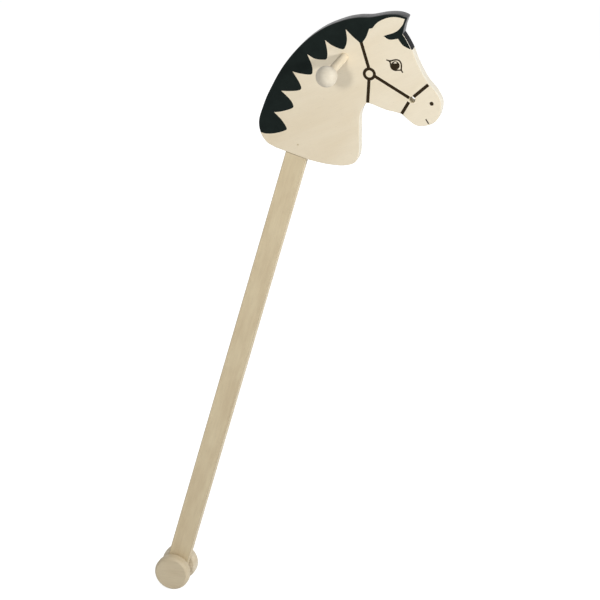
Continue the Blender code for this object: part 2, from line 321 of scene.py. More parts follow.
class StickHorseSizes(bpy.types.PropertyGroup):
    """Sizes of the visible surfaces. What the solids already fix is read from them."""

    lean: bpy.props.FloatProperty(
        name="Lean", description="Lean of the stick towards the nose", default=STICK_LEAN, subtype="ANGLE")
    board_thickness: length_property(
        "Board thickness", "Thickness of the head's plywood", extent("head_board").y)
    board_arris: length_property("Head arris", "Rounding of the head's rims", 0.7 * MM)
    hole_arris: length_property("Hole arris", "Rounding of the mouths of the holes", 0.3 * MM)
    rein_hole: length_property("Rein hole", "Diameter of the hole for the reins", 8.5 * MM)
    strap_width: length_property("Strap width", "Width of the printed straps", 4.5 * MM)
    ring_inner: length_property("Ring, inner radius", "Inner radius of the bridle's ring", 4.95 * MM)
    ring_outer: length_property("Ring, outer radius", "Outer radius of the bridle's ring", 9.15 * MM)
    stick_width: length_property("Stick width", "Width of the stick, seen from the side", 30 * MM)
    stick_thickness: length_property(
        "Stick thickness", "Thickness of the stick, across the toy", extent("stick").y)
    stick_arris: length_property("Stick arris", "Rounding of the stick's edges", 0.8 * MM)
    tenon_shoulder: length_property("Tenon shoulder", "How far the stick stands out past its tenon", 5 * MM)
    tenon_thickness: length_property("Tenon thickness", "Thickness of the tenon", 7 * MM)
    tenon_length: length_property("Tenon length", "How far the tenon stands up into the head", 36 * MM)
    fit: length_property("Fit", "Gap between pieces that touch on the toy", 0.3 * MM)
    knob_flat: length_property("Knob flat", "Width of the flat ring round the rod", 2 * MM)
    knob_socket: length_property("Knob socket", "Depth of the blind hole in a knob", 15 * MM)
    rod_chamfer: length_property("Rod chamfer", "Chamfer on the ends of the rod", 0.6 * MM)
    wheel_edge: length_property("Wheel edge", "Width of the rounded edge of a wheel", 3.4 * MM)
    wheel_break: bpy.props.FloatProperty(
        name="Wheel break", description="Angle at which the rounded edge of a wheel meets its flat face",
        default=math.radians(28.0), subtype="ANGLE")
    wheel_floor: length_property("Wheel floor", "Wood left past the end of the axle", 6.9 * MM)


class StickHorseColours(bpy.types.PropertyGroup):
    """Colours of the woods, the inks and the paint."""

    plywood: colour_property("Plywood", "Face of the head", 229, 218, 195)
    plywood_dark: colour_property("Plywood, figure", "Darker figure of the head", 214, 197, 166)
    # Painted shade: the rims are a darker wood colour that stands for the shade falling on the rounded rims
    plywood_rim_shade: colour_property("Plywood, rims", "Shaded rims of the head", 219, 209, 187)
    # Darker than the face, partly as end grain of the plies and partly as painted shade inside the holes
    bore_end_grain_and_shade: colour_property("Plywood, hole", "Wall of the drilled holes", 200, 188, 158)
    ply_long: colour_property("Ply, long grain", "Plies seen along the grain", 232, 227, 213)
    ply_end: colour_property("Ply, end grain", "Plies seen on their ends", 222, 213, 193)
    stick: colour_property("Stick", "Wood of the stick", 213, 198, 165)
    stick_dark: colour_property("Stick, figure", "Darker grain of the stick", 195, 176, 143)
    # Painted shade: the stick's rims are a darker wood colour that stands for the shade falling on them
    stick_rim_shade: colour_property("Stick, rims", "Shaded edges of the stick", 183, 170, 143)
    rod: colour_property("Rod", "Wood of the handle rod", 230, 218, 194)
    rod_dark: colour_property("Rod, grain", "Darker grain of the handle rod", 211, 196, 167)
    knob: colour_property("Knob", "Wood of the ball knobs", 215, 207, 189)
    knob_dark: colour_property("Knob, grain", "Darker grain of the ball knobs", 199, 188, 167)
    right_wheel: colour_property("Right wheel", "Wood of the right wheel", 208, 194, 166)
    # Paler than the right wheel: painted light, for the lamp from the right that falls on this far wheel
    left_wheel_painted_light: colour_property("Left wheel", "Wood of the left wheel", 221, 211, 190)
    wheel_dark: colour_property("Wheels, grain", "Darker grain of both wheels", 191, 175, 145)
    peg: colour_property("Peg", "End grain of the peg", 206, 190, 156)
    mane_ink: colour_property("Mane ink", "Printed mane", 20, 27, 25)
    bridle_ink: colour_property("Bridle ink", "Printed straps, eye, nostril and mouth", 44, 34, 20)
    edge_paint: colour_property("Edge paint", "Black paint on the edge of the board", 24, 24, 26)


def sizes():
    return bpy.context.scene.stick_horse_sizes


def colours():
    return bpy.context.scene.stick_horse_colours


def smooth_stretch(points, steps):
    """A curve through the points of one stretch, between two corners."""
    first = points[0] * 2 - points[1]
    last = points[-1] * 2 - points[-2]
    knots = [first, *points, last]
    curve = []
    for before, start, end, after in zip(knots, knots[1:], knots[2:], knots[3:]):
        run = (end - start).length
        into = (end - before) * run / ((start - before).length + run)
        out = (after - start) * run / ((after - end).length + run)
        for step in range(steps):
            t = step / steps
            curve.append(
                start * (2 * t**3 - 3 * t**2 + 1)
                + into * (t**3 - 2 * t**2 + t)
                + end * (3 * t**2 - 2 * t**3)
                + out * (t**3 - t**2)
            )
    return curve


def drawn(named_points, steps):
    """The curve through named points, from its first corner to its last one."""
    points = [Vector(row[1:3]) for row in named_points]
    corners = [index for index, row in enumerate(named_points) if row[-1] == CORNER]
    line = []
    for start, end in zip(corners, corners[1:]):
        stretch = points[start:end + 1]
        line += smooth_stretch(stretch, steps) if len(stretch) > 2 else [stretch[0]]
    return line + [points[corners[-1]]]


def arc(centre, radius, start, end, steps):
    """Points on an arc, with angles in degrees from the first axis to the second."""
    angles = [math.radians(start + (end - start) * step / steps) for step in range(steps + 1)]
    return [Vector((centre[0] + radius * math.cos(a), centre[1] + radius * math.sin(a))) for a in angles]


def circle(centre, radius, steps):
    return arc(centre, radius, 0, 360, steps)[:-1]


def upright(height=0.0):
    """The matrix from a piece drawn upright to its place, with height measured along the stick."""
    lean = Matrix.Rotation(sizes().lean, 4, "Y")
    return Matrix.Translation(AXLE_CENTRE) @ lean @ Matrix.Translation((0.0, 0.0, height))


def seat():
    """The matrix for what is drawn from the middle of the head's seat."""
    return upright(STICK_LENGTH)


def shade(data):
    """Smooth shading, but crisp at sharp edges and round every flat side, so that a flat stays flat."""
    data.normal_update()
    for face in data.faces:
        face.smooth = True
    for edge in data.edges:
        flats = [abs(face.normal.y) > FLAT_ENOUGH for face in edge.link_faces]
        border = any(flats) and not all(flats)
        edge.smooth = not border and edge.calc_face_angle(0.0) < SHARP_FROM


def new_object(name, data, materials=(), place=Matrix.Identity(4)):
    """An object at the origin, with its place in its mesh."""
    data.transform(place)
    shade(data)
    mesh = bpy.data.meshes.new(name)
    data.to_mesh(mesh)
    data.free()
    for material in materials:
        mesh.materials.append(material)
    made = bpy.data.objects.new(name, mesh)
    bpy.context.scene.collection.objects.link(made)
    return made


def new_piece(name, data, materials, place, body, slot, *nodes):
    piece = new_object(name, data, materials, place)
    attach(piece, body)
    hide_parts(*nodes)


def facing(place, side):
    """The matrix to a place for a piece drawn for the side at +Y, turned half round for the other one."""
    return Matrix.Translation(place) @ Matrix.Rotation(math.pi if side < 0 else 0.0, 4, "Z")


def board(outline, thickness, arris):
    """A board cut to an outline in the XZ plane, with its rims rounded on both sides."""
    data = bmesh.new()
    face = data.faces.new([data.verts.new((x, -thickness / 2, z)) for x, z in outline])
    made = bmesh.ops.extrude_face_region(data, geom=[face])["geom"]
    far_side = [item for item in made if isinstance(item, bmesh.types.BMVert)]
    bmesh.ops.translate(data, vec=(0, thickness, 0), verts=far_side)
    bmesh.ops.recalc_face_normals(data, faces=data.faces)
    rims = [edge for edge in data.edges if abs(edge.verts[0].co.y - edge.verts[1].co.y) < SAME_POINT]
    bmesh.ops.bevel(
        data, geom=rims, offset=arris, segments=ARRIS_STEPS, profile=0.5,
        affect="EDGES", clamp_overlap=True, material=-1,
    )
    return data


def turned(profile, steps):
    """A solid turned about the Y axis from (radius, y) points that start and end on the axis."""
    data = bmesh.new()
    points = [data.verts.new((radius, along, 0.0)) for radius, along in profile]
    edges = [data.edges.new(pair) for pair in zip(points, points[1:])]
    bmesh.ops.spin(
        data, geom=points + edges, axis=(0, 1, 0), cent=(0, 0, 0),
        angle=math.tau, steps=steps, use_merge=True,
    )
    bmesh.ops.remove_doubles(data, verts=data.verts, dist=SAME_POINT)
    bmesh.ops.recalc_face_normals(data, faces=data.faces)
    return data


def box(low, high):
    data = bmesh.new()
    bmesh.ops.create_cube(data, size=1.0)
    low, high = Vector(low), Vector(high)
    bmesh.ops.scale(data, vec=high - low, verts=data.verts)
    bmesh.ops.translate(data, vec=(low + high) / 2, verts=data.verts)
    return data


def drill(radius, half_length, arris, steps, across=0.0, up=0.0):
    """The shape that cuts a round hole through a board and rounds its mouths."""
    mouth = arc((radius + arris, half_length - arris), arris, 180, 90, ARRIS_STEPS)
    past = half_length + arris
    far = [*mouth, (radius + arris, past), (0.0, past)]
    near = [(out, -along) for out, along in reversed(far)]
    data = turned(near + far, steps)
    bmesh.ops.translate(data, vec=(across, 0.0, up), verts=data.verts)
    return data


def tight_hole(node):
    """The radius of the hole that a rod is glued in."""
    return radius_of(node) + sizes().fit / TIGHTER


def carve(data, cutters, operation="DIFFERENCE"):
    """Cuts shapes from a mesh, or joins them to it, and returns the new mesh data."""
    work = new_object("work", data)
    shapes = [new_object("cutter", shape) for shape in cutters]
    for shape in shapes:
        modifier = work.modifiers.new(shape.name, "BOOLEAN")
        modifier.operation = operation
        modifier.solver = "EXACT"
        modifier.object = shape
    evaluated = work.evaluated_get(bpy.context.evaluated_depsgraph_get())
    carved = bmesh.new()
    carved.from_mesh(evaluated.to_mesh())
    for item in (*shapes, work):
        mesh = item.data
        bpy.data.objects.remove(item)
        bpy.data.meshes.remove(mesh)
    return carved


# The head's materials, by slot number. RIM is a darker wood that paints shade on the rims, and BORE is end
# grain with painted shade in the holes
FACE, MANE, INK, PLIES, RIM, PAINT, DULL_PAINT, BORE = range(8)


class FacePrint:
    """Lays the printed shapes into one flat side of the head, as faces of its own mesh."""

    def __init__(self, data, side, level):
        self.data = data
        self.side = side
        self.level = level
        self.corners = {}

    def corner(self, point):
        key = tuple(round(value, SAME_POINT_DIGITS) for value in point)
        if key not in self.corners:
            self.corners[key] = self.data.verts.new((point[0], self.level, point[1]))
        return self.corners[key]

    def line(self, points):
        """The edges through the points, some of which may be corners of the mesh already."""
        verts = [p if isinstance(p, bmesh.types.BMVert) else self.corner(p) for p in points]
        return [
            self.data.edges.get(pair) or self.data.edges.new(pair)
            for pair in zip(verts, verts[1:]) if pair[0] is not pair[1]
        ]

    def loop(self, points):
        return self.line([*points, points[0]])

    def fill(self, edges, finish):
        made = bmesh.ops.triangle_fill(
            self.data, edges=edges, use_beauty=True, use_dissolve=False, normal=(0, self.side, 0))
        for item in made["geom"]:
            if isinstance(item, bmesh.types.BMFace):
                item.material_index = finish

    def lay(self, outline, finish, bare=()):
        """A printed shape, with the bare wood inside it."""
        holes = [self.loop(hole) for hole in bare]
        self.fill(self.loop(outline) + [edge for hole in holes for edge in hole], finish)
        for hole in holes:
            self.fill(hole, FACE)

    def lay_rest(self):
        """The bare wood round all the printed shapes."""
        level = [
            edge for edge in self.data.edges
            if len(edge.link_faces) == 1
            and all(abs(vert.co.y - self.level) < SAME_POINT for vert in edge.verts)
        ]
        self.fill(level, FACE)


def room_to_rim(ends, along, rim):
    """How far the square end of a strap can run on before it comes to the rim."""
    room = []
    for point in (ends[0], (ends[0] + ends[1]) / 2, ends[1]):
        for one, other in zip(rim, rim[1:] + rim[:1]):
            hit = intersect_line_line_2d(point, point + along * REACH, one, other)
            if hit:
                room.append((hit - point).length)
    return min(room) - RIM_GAP


def bar(start, end, width):
    """The corners of a straight bar: its right side from start to end, then its left side back."""
    along = (end - start).normalized()
    across = Vector((-along.y, along.x)) * width / 2
    return [start - across, end - across, end + across, start + across]


def strap(name, rim):
    """The corners of a strap, in the order of a bar's. Some of the straps run on to the rim."""
    start, end = (Vector(point) for point in STRAPS[name])
    corners = bar(start, end, sizes().strap_width)
    if name in TO_THE_RIM:
        along = (end - start).normalized()
        further = along * room_to_rim(corners[1:3], along, rim)
        corners[1:3] = [corner + further for corner in corners[1:3]]
    return corners


def meets_ring(corner, towards):
    """Where a strap's side, drawn in towards the ring, meets the ring's outer circle."""
    direction = (towards - corner).normalized()
    to_centre = Vector(RING_CENTRE) - corner
    nearest = to_centre.dot(direction)
    off = (to_centre - direction * nearest).length
    return corner + direction * (nearest - math.sqrt(sizes().ring_outer ** 2 - off ** 2))


def ring_angle(point):
    from_centre = point - Vector(RING_CENTRE)
    return math.degrees(math.atan2(from_centre.y, from_centre.x)) % 360


def bridle_outline(rim):
    """The ring's outer circle, with the three straps that leave it."""
    arms = []
    for name in sorted(RING_STRAPS, key=lambda name: ring_angle(Vector(STRAPS[name][1]))):
        start_right, right, left, start_left = strap(name, rim)
        arms.append([meets_ring(right, start_right), right, left, meets_ring(left, start_left)])
    outline = []
    for arm, next_arm in zip(arms, arms[1:] + arms[:1]):
        start, end = ring_angle(arm[-1]), ring_angle(next_arm[0])
        if end < start:
            end += 360
        steps = max(2, round((end - start) / 360 * HOLE_STEPS))
        outline += arm + arc(RING_CENTRE, sizes().ring_outer, start, end, steps)[1:-1]
    return outline


def mane_line(rim):
    """The mane's inner edge, which takes in the square end of the cheek strap."""
    _, right, left, _ = strap("cheek", rim)
    lower = drawn(MANE_TO_STRAP, PRINT_STEPS)
    upper = drawn(MANE_FROM_STRAP, PRINT_STEPS)
    return lower[1:-1] + [left, right] + upper[1:-1]


def above_paint_line(point):
    """Whether a point is on the mane's side of the line between the two ends of the edge paint."""
    start, end = EDGE_PAINT_ENDS
    run, step = end - start, Vector(point) - start
    return run.x * step.y - run.y * step.x > 0


def on_arris(face, thickness, arris):
    """Whether a face of a board lies on one of its rounded rims."""
    return abs(face.normal.y) < FLAT_ENOUGH and abs(face.calc_center_median().y) > thickness / 2 - arris


def edge_finish(face):
    """Plies on the edge of the board, and black paint along the mane, the ear and the forelock."""
    centre = face.calc_center_median()
    if not above_paint_line(centre.xz):
        # Below the paint, the arris takes the darker rim wood as painted shade
        return RIM if on_arris(face, sizes().board_thickness, sizes().board_arris) else PLIES
    if centre.x < FORELOCK_TOP.x or centre.z > FORELOCK_TOP.y:
        return PAINT
    depth = sizes().board_thickness / 2 - abs(centre.y)
    # Next to the face the arris takes the pale plies as a painted highlight, and the rest is dull paint
    return PLIES if depth < HIGHLIGHT_STRIP_DEPTH else DULL_PAINT


def print_side(data, side):
    """Takes off one flat side of the head and lays it again round the printed shapes."""
    level = side * sizes().board_thickness / 2
    caps = [face for face in data.faces if face.normal.y * side > FLAT_ENOUGH]
    cap = max(caps, key=lambda face: face.calc_area())
    rim = [loop.vert for loop in cap.loops]
    bmesh.ops.delete(data, geom=[cap], context="FACES_ONLY")

    def nearest(row):
        return min(range(len(rim)), key=lambda index: (rim[index].co.xz - Vector(row[1:3])).length)

    foot = nearest(MANE_TO_STRAP[0])
    forelock = nearest(MANE_FROM_STRAP[-1])
    ear = nearest(next(row for row in HEAD_OUTLINE if row[0] == "ear, tip"))
    rim = rim[foot:] + rim[:foot]
    forelock, ear = ((index - foot) % len(rim) for index in (forelock, ear))
    # The mane's stretch of the rim goes over the ear, whichever way round the rim runs
    over = rim[:forelock + 1] if ear < forelock else [rim[0], *reversed(rim[forelock:])]

    face = FacePrint(data, side, level)
    flat = [vert.co.xz for vert in rim]
    mane = face.line(over) + face.line([over[0], *mane_line(flat), over[-1]])
    face.fill(mane, MANE)
    face.lay(bridle_outline(flat), INK, bare=[circle(RING_CENTRE, sizes().ring_inner, HOLE_STEPS)])
    face.lay(strap("noseband", flat), INK)
    face.lay(strap("chin", flat), INK)
    white = drawn(EYE_WHITE, PRINT_STEPS) + arc(PUPIL_CENTRE, PUPIL_RADIUS, *PUPIL_ARC, PUPIL_STEPS)
    face.lay(drawn(EYE_RIM, PRINT_STEPS), INK, bare=[white, drawn(SHINE, PRINT_STEPS)])
    face.lay(circle(NOSTRIL, NOSTRIL_RADIUS, SMALL_STEPS), INK)
    face.lay(bar(*(Vector(point) for point in MOUTH), MOUTH_WIDTH), INK)
    face.lay_rest()


def head_data():
    """The board with its print, its mortise and its three holes."""
    s = sizes()
    data = board(drawn(HEAD_OUTLINE, OUTLINE_STEPS), s.board_thickness, s.board_arris)
    for face in data.faces:
        if abs(face.normal.y) < FLAT_ENOUGH:
            face.material_index = edge_finish(face)
    for side in (-1, 1):
        print_side(data, side)
    bmesh.ops.recalc_face_normals(data, faces=data.faces)
    half_width = s.stick_width / 2 - s.tenon_shoulder + s.fit
    half_depth = s.tenon_thickness / 2 + s.fit
    cutters = [box(
        (-half_width, -half_depth, -s.tenon_length), (half_width, half_depth, s.tenon_length + s.fit))]
    rod = seat().inverted() @ middle("handle_rod")
    holes = (
        (tight_hole("head_pin"), s.hole_arris * PEG_HOLE_SHARE, SMALL_STEPS, PEG_ACROSS, PEG_ABOVE_SEAT),
        (tight_hole("handle_rod"), s.hole_arris * HANDLE_HOLE_SHARE, HOLE_STEPS, rod.x, rod.z),
        (s.rein_hole / 2, s.hole_arris, HOLE_STEPS, *REIN_HOLE),
    )
    for radius, arris, steps, *place in holes:
        hole = drill(radius, s.board_thickness / 2, arris, steps, *place)
        for face in hole.faces:
            face.material_index = BORE
        cutters.append(hole)
    return carve(data, cutters)


def stick_data():
    """The stick, round at its foot, with the tenon that stands up into the head."""
    s = sizes()
    half = s.stick_width / 2
    top = STICK_LENGTH - s.fit
    foot = arc((0.0, 0.0), half, 180, 360, HOLE_STEPS)
    data = board([*foot, (half, top), (-half, top)], s.stick_thickness, s.stick_arris)
    for face in data.faces:
        # The stick's rims have its second material, a darker wood that paints shade on them
        face.material_index = int(on_arris(face, s.stick_thickness, s.stick_arris))
    tenon = box(
        (s.tenon_shoulder - half, -s.tenon_thickness / 2, top - s.tenon_length),
        (half - s.tenon_shoulder, s.tenon_thickness / 2, STICK_LENGTH + s.tenon_length),
    )
    data = carve(data, [tenon], "UNION")
    axle_hole = drill(radius_of("axle") + s.fit, s.stick_thickness / 2, s.hole_arris, HOLE_STEPS)
    peg_hole = drill(
        tight_hole("head_pin"), s.tenon_thickness / 2, s.hole_arris * PEG_HOLE_SHARE, SMALL_STEPS,
        PEG_ACROSS, STICK_LENGTH + PEG_ABOVE_SEAT)
    return carve(data, [axle_hole, peg_hole])


def rod_data(node, chamfer, steps):
    """A round rod of a node's size, with chamfered ends."""
    radius, half = radius_of(node), extent(node).y / 2
    profile = [
        (0.0, -half), (radius - chamfer, -half), (radius, chamfer - half),
        (radius, half - chamfer), (radius - chamfer, half), (0.0, half),
    ]
    return turned(profile, steps)


def knob_data(node):
    """A ball with a flat and a blind socket on its side at -Y."""
    s = sizes()
    radius = radius_of(node)
    flat = radius_of("handle_rod") + s.knob_flat
    face = math.sqrt(radius ** 2 - flat ** 2)
    socket = tight_hole("handle_rod")
    floor = s.knob_socket - face
    start = math.degrees(math.atan2(-face, flat))
    ball = arc((0.0, 0.0), radius, start, 90, BALL_STEPS)
    profile = [(0.0, floor), (socket, floor), (socket, -face), *ball[:-1], (0.0, radius)]
    return turned(profile, TURNED_STEPS)


def wheel_data(node):
    """A disc from y = 0 at its inner face, with rounded edges and a blind socket for the axle."""
    s = sizes()
    radius, thickness = radius_of(node), extent(node).y
    turn = math.pi / 2 - s.wheel_break
    edge = s.wheel_edge / (1 - math.cos(turn))
    rise = edge * math.sin(turn)
    turn = math.degrees(turn)
    inner = arc((radius - edge, rise), edge, -turn, 0, WHEEL_EDGE_STEPS)
    outer = arc((radius - edge, thickness - rise), edge, 0, turn, WHEEL_EDGE_STEPS)
    socket = tight_hole("axle")
    depth = thickness - s.wheel_floor
    profile = [(0.0, depth), (socket, depth), (socket, 0.0), *inner, *outer, (0.0, thickness)]
    return turned(profile, TURNED_STEPS)


class Nodes:
    """The nodes of a material or of the sky."""

    def __init__(self, owner):
        owner.use_nodes = True
        self.tree = owner.node_tree

    def feed(self, socket, value):
        """Links an input to the output that feeds it, or sets it to a plain value or colour."""
        if isinstance(value, bpy.types.NodeSocket):
            self.tree.links.new(value, socket)
        else:
            socket.default_value = (*value, 1.0) if socket.type == "RGBA" else value

    def add(self, kind, inputs, **settings):
        """A node with its settings and its inputs, each by its name or number."""
        made = self.tree.nodes.new(kind)
        for name, value in settings.items():
            setattr(made, name, value)
        for key, value in inputs.items():
            self.feed(made.inputs[key], value)
        return made

    def math(self, operation, *values):
        return self.add("ShaderNodeMath", dict(enumerate(values)), operation=operation).outputs[0]

    def plus(self, first, second):
        return self.math("ADD", first, second)

    def minus(self, first, second):
        return self.math("SUBTRACT", first, second)

    def times(self, first, second):
        return self.math("MULTIPLY", first, second)

    def ramp(self, value, low, high, to_low=0.0, to_high=1.0):
        """A value brought from one range to another, and held there."""
        inputs = {"Value": value, "From Min": low, "From Max": high, "To Min": to_low, "To Max": to_high}
        return self.add("ShaderNodeMapRange", inputs).outputs["Result"]

    def mix(self, share, first, second, blend="MIX"):
        inputs = {0: share, 6: first, 7: second}
        return self.add("ShaderNodeMix", inputs, data_type="RGBA", blend_type=blend).outputs[2]

    def darkened(self, colour, amount):
        """A colour made darker by an amount from 0 to 1."""
        left = self.minus(1.0, amount)
        grey = self.add("ShaderNodeCombineColor", {"Red": left, "Green": left, "Blue": left})
        return self.mix(1.0, colour, grey.outputs[0], "MULTIPLY")


# Patterns of noise: its scale per metre, detail, roughness and distortion, and then the part of it,
# from 0 to 1, over which the pattern comes in. Where the scale is None, each wood gives its own.
PATTERNS = {
    "figure": (None, 2.0, 0.5, 0.4, 0.30, 0.72),
    "streaks": (None, 3.0, 0.6, 0.3, 0.36, 0.70),
    "fibres": (900.0, 3.0, 0.7, 0.0, 0.30, 0.72),
    "flecks": (None, 1.0, 0.5, 0.0, 0.70, 0.80),
    "gloss": (40.0, 3.0, 0.5, 0.0, 0.30, 0.70),
    "ink patches": (70.0, 4.0, 0.6, 0.0, 0.35, 0.75),
    "ply speckle": (1500.0, 2.0, 0.5, 0.0, 0.35, 0.75),
    "ply runs": (160.0, 3.0, 0.5, 0.0, 0.35, 0.70),
    "ply wander": (45.0, 1.0, 0.5, 0.0, 0.30, 0.70),
    "brush": (260.0, 4.0, 0.6, 0.0, 0.30, 0.75),
}

# Finishes: roughness, the range it varies in where it does, specular level, and the strength and the
# depth in metres of the relief
FINISHES = {
    "wood": (0.50, (0.45, 0.56), 0.30, (0.35, 0.06 * MM)),
    "ink": (0.62, (0.58, 0.67), 0.06, (0.30, 0.05 * MM)),
    "plies": (0.55, None, 0.40, (0.50, 0.10 * MM)),
    "paint": (0.30, (0.26, 0.42), 0.50, (0.35, 0.08 * MM)),
    "dull paint": (0.60, (0.56, 0.72), 0.10, (0.35, 0.08 * MM)),
}

# How much of a pattern's scale is left along the grain: little for fibres, more for figure and flecks
FINE_GRAIN = 0.06
BROAD_GRAIN = 0.30
FLECK_SCALE = 0.8  # of the fibres' scale

# How much each kind of mark darkens what it lies on, from 0 to 1
FLECKS_DARKEN = 0.09
WOOD_DARKENS = 0.01  # all over
INK_FIBRES_DARKEN = 0.12
SPECKLE_DARKENS = 0.03
SPECKLE_ON_END_DARKENS = 0.10  # added on the plies seen on end
GLUE_DARKENS = 0.14
RUNS_DARKEN = 0.05

# Thin spots of ink and paint: how much of them shows, and how many times and by how much they are lighter
THIN_INK = (0.6, 1.6, 0.002)
THIN_PAINT = (0.5, 2.2, 0.004)

PLY_THICKNESS = 1.45 * MM
PLY_WANDER = 0.12  # of a ply
PLY_COUNT_FROM = 100.5  # keeps the count above zero, with a ply in the middle of the board
PLY_STEP = 0.5  # how far every other ply stands out under the paint, as a share of the brush marks
GLUE_LINE = (0.44, 0.49)  # where it comes in, from the middle of a ply to its side


class Look(Nodes):
    """A material on the principled shader, with patterns that read object coordinates."""

    def __init__(self, name, finish):
        self.material = bpy.data.materials.new(name)
        super().__init__(self.material)
        self.place = self.add("ShaderNodeTexCoord", {}).outputs["Object"]
        roughness, self.roughness_range, specular, self.relief = FINISHES[finish]
        self.surface({"Roughness": roughness, "Specular IOR Level": specular})

    def surface(self, inputs):
        for name, value in inputs.items():
            self.feed(self.tree.nodes["Principled BSDF"].inputs[name], value)

    def emboss(self, height):
        """Relief from a height, as strong and as deep as the finish has it."""
        strength, depth = self.relief
        bump = self.add("ShaderNodeBump", {"Height": height, "Strength": strength, "Distance": depth})
        self.surface({"Normal": bump.outputs[0]})

    def grain(self, turn, centre):
        """Places from a piece's centre, turned so that the grain runs along X."""
        moved = self.add("ShaderNodeMapping", {"Vector": self.place, "Location": tuple(-Vector(centre))})
        return self.add("ShaderNodeMapping", {"Vector": moved.outputs[0], "Rotation": turn}).outputs[0]

    def stretched(self, place, scale):
        """Places on which a pattern comes out drawn out along the grain."""
        return self.add("ShaderNodeMapping", {"Vector": place, "Scale": (scale, 1.0, 1.0)}).outputs[0]

    def pattern(self, kind, place, scale=None, to_low=0.0, to_high=1.0):
        """How much of a pattern there is at each place."""
        own_scale, detail, rough, distort, low, high = PATTERNS[kind]
        noise = self.add("ShaderNodeTexNoise", {
            "Vector": place, "Scale": scale or own_scale, "Detail": detail,
            "Roughness": rough, "Distortion": distort,
        })
        return self.ramp(noise.outputs["Fac"], low, high, to_low, to_high)

    def thinned(self, colour, patches, share, factor, lift):
        """A colour with lighter patches, where the ink or the paint lies thin."""
        lighter = tuple(channel * factor + lift for channel in colour)
        return self.mix(self.times(patches, share), colour, lighter)


def wood(
        name, pale, dark, turn, centre, figure=60.0, streak=160.0, fibre=900.0,
        figured=0.5, streaked=0.3, fibred=0.07, drift=None):
    """Pale wood: broad figure, streaks along the grain, fine fibres and short dark flecks.

    figure, streak and fibre are scales per metre, and figured, streaked and fibred how much of each
    shows. drift is how much darker the wood gets per metre along each axis of the grain."""
    look = Look(name, "wood")
    plain = look.grain(turn, centre)
    along = look.stretched(plain, FINE_GRAIN)
    broad = look.stretched(plain, BROAD_GRAIN)
    fibres = look.pattern("fibres", along, fibre)
    flecks = look.pattern("flecks", broad, fibre * FLECK_SCALE)
    share = look.plus(
        look.times(look.pattern("figure", broad, figure), figured),
        look.times(look.pattern("streaks", along, streak), streaked))
    if drift:
        slope = look.add("ShaderNodeVectorMath", {0: plain, 1: drift}, operation="DOT_PRODUCT")
        share = look.ramp(look.plus(share, slope.outputs["Value"]), 0.0, 1.0)
    fine = look.plus(look.times(look.minus(fibres, 0.5), fibred), look.times(flecks, FLECKS_DARKEN))
    look.surface({
        "Base Color": look.darkened(look.mix(share, pale, dark), look.plus(fine, WOOD_DARKENS)),
        "Roughness": look.pattern("gloss", plain, None, *look.roughness_range),
    })
    look.emboss(look.minus(fibres, flecks))
    return look.material


def ink(name, colour, turn, centre):
    """Thin matt ink, in which the grain under it still shows."""
    look = Look(name, "ink")
    plain = look.grain(turn, centre)
    fibres = look.pattern("fibres", look.stretched(plain, FINE_GRAIN))
    patches = look.pattern("ink patches", plain)
    base = look.thinned(colour, patches, *THIN_INK)
    look.surface({
        "Base Color": look.darkened(base, look.times(fibres, INK_FIBRES_DARKEN)),
        "Roughness": look.ramp(patches, 0.0, 1.0, *look.roughness_range),
    })
    look.emboss(fibres)
    return look.material


def counted_plies(look):
    """The plies counted across the board, a little unevenly, and 1 in every other ply and 0 in the rest."""
    across = look.add("ShaderNodeSeparateXYZ", {"Vector": look.place}).outputs["Y"]
    wander = look.pattern("ply wander", look.place, None, -PLY_WANDER, PLY_WANDER)
    count = look.plus(look.math("DIVIDE", across, PLY_THICKNESS), wander)
    count = look.plus(count, PLY_COUNT_FROM)
    return count, look.math("FLOORED_MODULO", look.math("FLOOR", count), 2.0)


def plies(name, long_grain, end_grain):
    """The edge of the board: pale plies between darker ones on end, with thin glue lines."""
    look = Look(name, "plies")
    count, odd = counted_plies(look)
    from_middle = look.math("ABSOLUTE", look.minus(look.math("FRACT", count), 0.5))
    glue = look.ramp(from_middle, *GLUE_LINE)
    speckle = look.pattern("ply speckle", look.place)
    runs = look.pattern("ply runs", look.place)
    dark = look.times(speckle, look.plus(look.times(odd, SPECKLE_ON_END_DARKENS), SPECKLE_DARKENS))
    dark = look.plus(dark, look.times(glue, GLUE_DARKENS))
    dark = look.plus(dark, look.times(runs, RUNS_DARKEN))
    look.surface({"Base Color": look.darkened(look.mix(odd, long_grain, end_grain), dark)})
    look.emboss(look.minus(1.0, look.plus(glue, speckle)))
    return look.material


def edge_paint(name, colour, finish):
    """Black paint brushed on the edge of the plies."""
    look = Look(name, finish)
    _, odd = counted_plies(look)
    brush = look.pattern("brush", look.place)
    look.surface({
        "Base Color": look.thinned(colour, brush, *THIN_PAINT),
        "Roughness": look.ramp(brush, 0.0, 1.0, *look.roughness_range),
    })
    look.emboss(look.plus(look.times(odd, PLY_STEP), brush))
    return look.material


# The grain's direction in each wood, as the turn that brings it to the X axis
FACE_GRAIN = (0.0, math.radians(27.0), 0.0)  # rises towards the nose on the face of the plywood
ACROSS_GRAIN = (0.0, 0.0, 0.0)
Y_GRAIN = (0.0, 0.0, math.radians(90.0))


